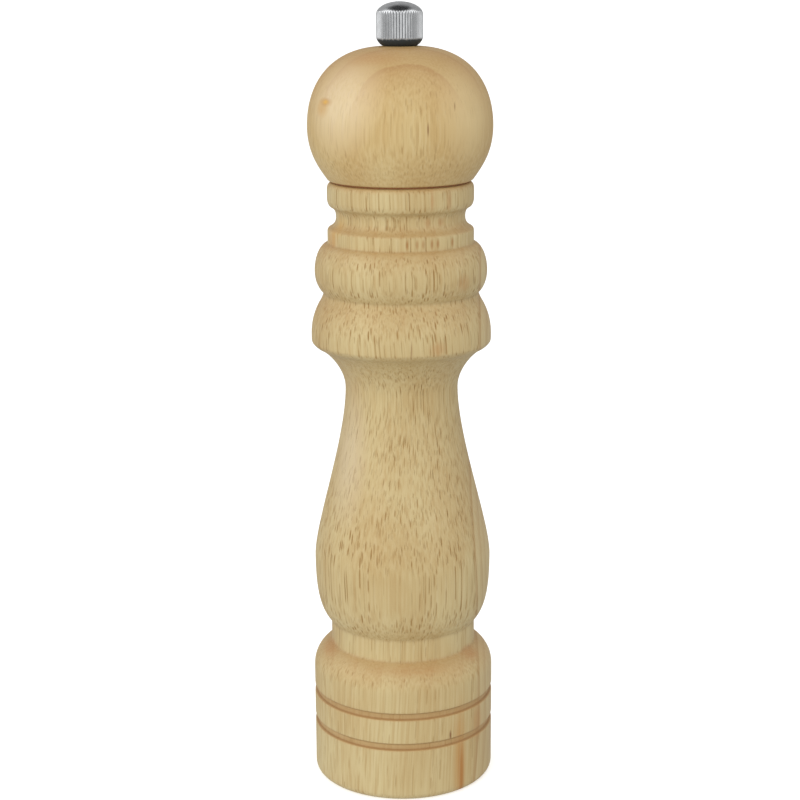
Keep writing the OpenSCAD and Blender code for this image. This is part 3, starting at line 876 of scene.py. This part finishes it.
def screw_mesh(name, places, head, shank_r, top):
    """Threaded screws that point up, each with a cross recess. head is a head's outline, from its face up."""
    face_z, depth, arm, half = head[0][1], 0.9, 1.15, 0.28
    start, point, step, pitch = head[-1][1], 2.0, 0.14, 1.1
    steps = int((top - point - start) / step)
    outline = head + [(shank_r, start + step * (i + 1)) for i in range(steps)] + [(0.05, top)]

    def thread(angle, r, z):
        if abs(r - shank_r) > 0.01 or z < start + 0.3:
            return r
        return r - 0.35 * (1 - helix(angle, z, pitch)) * min(1.0, (z - start) / 0.8)

    cross = [(arm, half), (half, half), (half, arm), (-half, arm), (-half, half), (-arm, half)]
    cross += [(-x, -y) for x, y in cross]
    shafts, cutters = [], []
    for x, y in places:
        move = Matrix.Translation((x * MM, y * MM, 0))
        shaft = grid_mesh(name, turned_rings(outline, even_angles(32), thread), False)
        shaft.transform(move)
        shafts.append(shaft)
        cutter = grid_mesh(name + "_recess", prism(cross, face_z - 0.5, face_z + depth, 0.6), False)
        cutter.transform(move)
        cutters.append(cutter)
    return carved(merge(name, shafts), merge(name + "_recess", cutters))


def carved(mesh, cutter):
    """The mesh with the cutter's shape taken out of it."""
    block = bpy.data.objects.new(mesh.name, mesh)
    knife = bpy.data.objects.new(cutter.name, cutter)
    for each in (block, knife):
        bpy.context.scene.collection.objects.link(each)
    cut = block.modifiers.new("cut", "BOOLEAN")
    cut.object = knife
    cut.solver = "EXACT"
    view = bpy.context.evaluated_depsgraph_get()
    result = bpy.data.meshes.new_from_object(block.evaluated_get(view))
    for each in (block, knife):
        bpy.data.objects.remove(each)
    result.shade_smooth()
    result.set_sharp_from_angle(angle=math.radians(35))
    return result


def pan_head(face_z, head_r, height, shank_r):
    return [
        (head_r - 0.9, face_z),
        (head_r - 0.35, face_z + 0.12),
        (head_r - 0.08, face_z + 0.4),
        (head_r, face_z + 0.7),
        (head_r, face_z + height - 0.1),
        (head_r - 0.1, face_z + height),
        (shank_r, face_z + height),
    ]


def flat_head(face_z, head_r, shank_r):
    return [
        (head_r - 0.07, face_z),
        (head_r, face_z + 0.08),
        (shank_r + 0.05, face_z + 1.0),
        (shank_r, face_z + 1.05),
    ]


def both_sides(node, along):
    """The middles of a node's two screws, which stand at either side of the axis."""
    low, high = span(node)
    out = high[along] - (high[1 - along] - low[1 - along]) / 2
    return [(out, 0.0), (-out, 0.0)] if along == 0 else [(0.0, out), (0.0, -out)]


PAN_SHANK_R = 1.4
FLAT_SHANK_R = 1.1

for node, along, piece_name in (
    ("retaining_bar_screws", 0, "bar_screws"),
    ("flange_screws", 1, "sleeve_screws"),
):
    low, high = span(node)
    head_r = (high[1 - along] - low[1 - along]) / 2
    profile = pan_head(low[2], head_r, 1.2, PAN_SHANK_R)
    screws = screw_mesh(piece_name, both_sides(node, along), profile, PAN_SHANK_R, high[2])
    new_piece(piece_name, screws, bright, "barrel", "screw_steel", node)

low, high = span("drive_plate_screws")
profile = flat_head(low[2], 2.12, FLAT_SHANK_R)
screws = screw_mesh("plate_screws", both_sides("drive_plate_screws", 0), profile, FLAT_SHANK_R, high[2])
new_piece("plate_screws", screws, bright, "head", "screw_steel", "drive_plate_screws")

# ---------------------------------------------------------------- pressed plates and washers

bevelled("retaining_bar", "bearing_bar", plated, "barrel", "pressed_steel", 0.25)
bevelled("stator_sleeve", "flanged_sleeve", plated, "barrel", "pressed_steel", 0.15)
bevelled("spring_bridge", "bent_bridge", plated, "barrel", "pressed_steel", 0.25)
bevelled("bridge_rivets", "headed_rivets", bright, "barrel", "screw_steel", 0.3)
bevelled("drive_plate", "square_holed_plate", plated, "head", "pressed_steel", 0.2)
bevelled("thrust_washer", "upper_washer", bright, "thrust", "screw_steel", 0.12)
bevelled("rotor_washer", "lower_washer", bright, "thrust", "screw_steel", 0.12)
bevelled("retaining_clip", "split_clip", wire, "thrust", "spring_steel", 0.12)
bevelled("seam_washer", "fibre_washer", fibre("fibre"), "seam", "fibre", 0.08)

# ---------------------------------------------------------------- studio


def floor():
    mesh = bpy.data.meshes.new("floor")
    side = 20.0
    corners = [(-side, -side, 0), (side, -side, 0), (side, side, 0), (-side, side, 0)]
    mesh.from_pydata(corners, [], [(0, 1, 2, 3)])
    pale, white = (0.85, 0.85, 0.85, 1.0), (1.0, 1.0, 1.0, 1.0)
    n = Paint("floor", Base_Color=pale, Roughness=0.9, Emission_Color=white, Emission_Strength=0.5)
    mesh.materials.append(n.material)
    plane = bpy.data.objects.new("floor", mesh)
    bpy.context.scene.collection.objects.link(plane)
    plane.visible_glossy = False
    plane.visible_diffuse = False


def softbox(name, place, target, size, watts):
    light = bpy.data.lights.new(name, "AREA")
    light.shape = "RECTANGLE"
    light.size, light.size_y = size
    light.energy = watts
    lamp = bpy.data.objects.new(name, light)
    bpy.context.scene.collection.objects.link(lamp)
    lamp.visible_glossy = False
    lamp.location = place
    lamp.rotation_euler = (Vector(target) - Vector(place)).to_track_quat("-Z", "Y").to_euler()


def white_room(above, below, glossy):
    """A white surround, brighter at the left and above.

    Reflections see it grey, dark overhead, with a bright wall and a lamp at either side in front.
    """
    world = bpy.data.worlds.new("studio")
    bpy.context.scene.world = world
    world.use_nodes = True
    n = Nodes(world.node_tree)
    direction = n.add("TexCoord", output="Generated")
    x, y, z = (n.part(direction, axis) for axis in "XYZ")
    lit = n.math("MULTIPLY", n.ramp(z, -0.3, 0.3, below, above), n.ramp(x, -0.8, 0.8, 1.09, 0.93))
    aside = n.math("ABSOLUTE", x)
    in_front = n.ramp(y, 0.3, -0.1)
    lamps = n.product(n.ramp(aside, 0.3, 0.5), n.ramp(z, 0.1, 0.3), n.ramp(z, 0.85, 0.7), in_front)
    walls = n.product(n.ramp(aside, 0.2, 0.6, 0.0, 0.5), in_front)
    grey = 0.45
    mirrored = n.math("ADD", n.math("ADD", walls, lamps), grey)
    mirrored = n.product(mirrored, n.ramp(x, -0.5, 0.5, 1.1, 0.9), n.ramp(z, 0.75, 0.9, 1.0, 0.06), glossy)
    seen = n.add("LightPath", output="Is Camera Ray")
    lit = n.mix(seen.node.outputs["Is Glossy Ray"], lit, mirrored)
    ground = world.node_tree.nodes["Background"]
    n.feed(ground.inputs["Color"], (1.0, 1.0, 1.0, 1.0))
    n.feed(ground.inputs["Strength"], n.math("MAXIMUM", lit, seen))


def camera():
    """A long lens in front of the mill, a little above its top, looking down at its middle."""
    data = bpy.data.cameras.new("camera")
    data.sensor_width = 36.0
    data.lens = 79.7
    data.clip_start = 0.01
    stand = bpy.data.objects.new("camera", data)
    bpy.context.scene.collection.objects.link(stand)
    eye, pitch, roll = (-0.00046, -0.4714, 0.2207), math.radians(13.53), math.radians(-0.34)
    turn = Matrix.Rotation(math.pi / 2 - pitch, 4, "X") @ Matrix.Rotation(roll, 4, "Z")
    stand.matrix_world = Matrix.Translation(eye) @ turn
    bpy.context.scene.camera = stand


floor()
middle = (0.0, 0.0, 0.11)
softbox("key", (-0.5, -1.0, 0.45), middle, (0.7, 1.0), 5.2)
softbox("fill", (0.8, -0.85, 0.35), middle, (0.6, 0.9), 1.2)
white_room(above=0.81, below=0.56, glossy=0.95)
camera()
bpy.context.scene.view_settings.view_transform = "Standard"
bpy.context.scene.view_settings.look = "None"
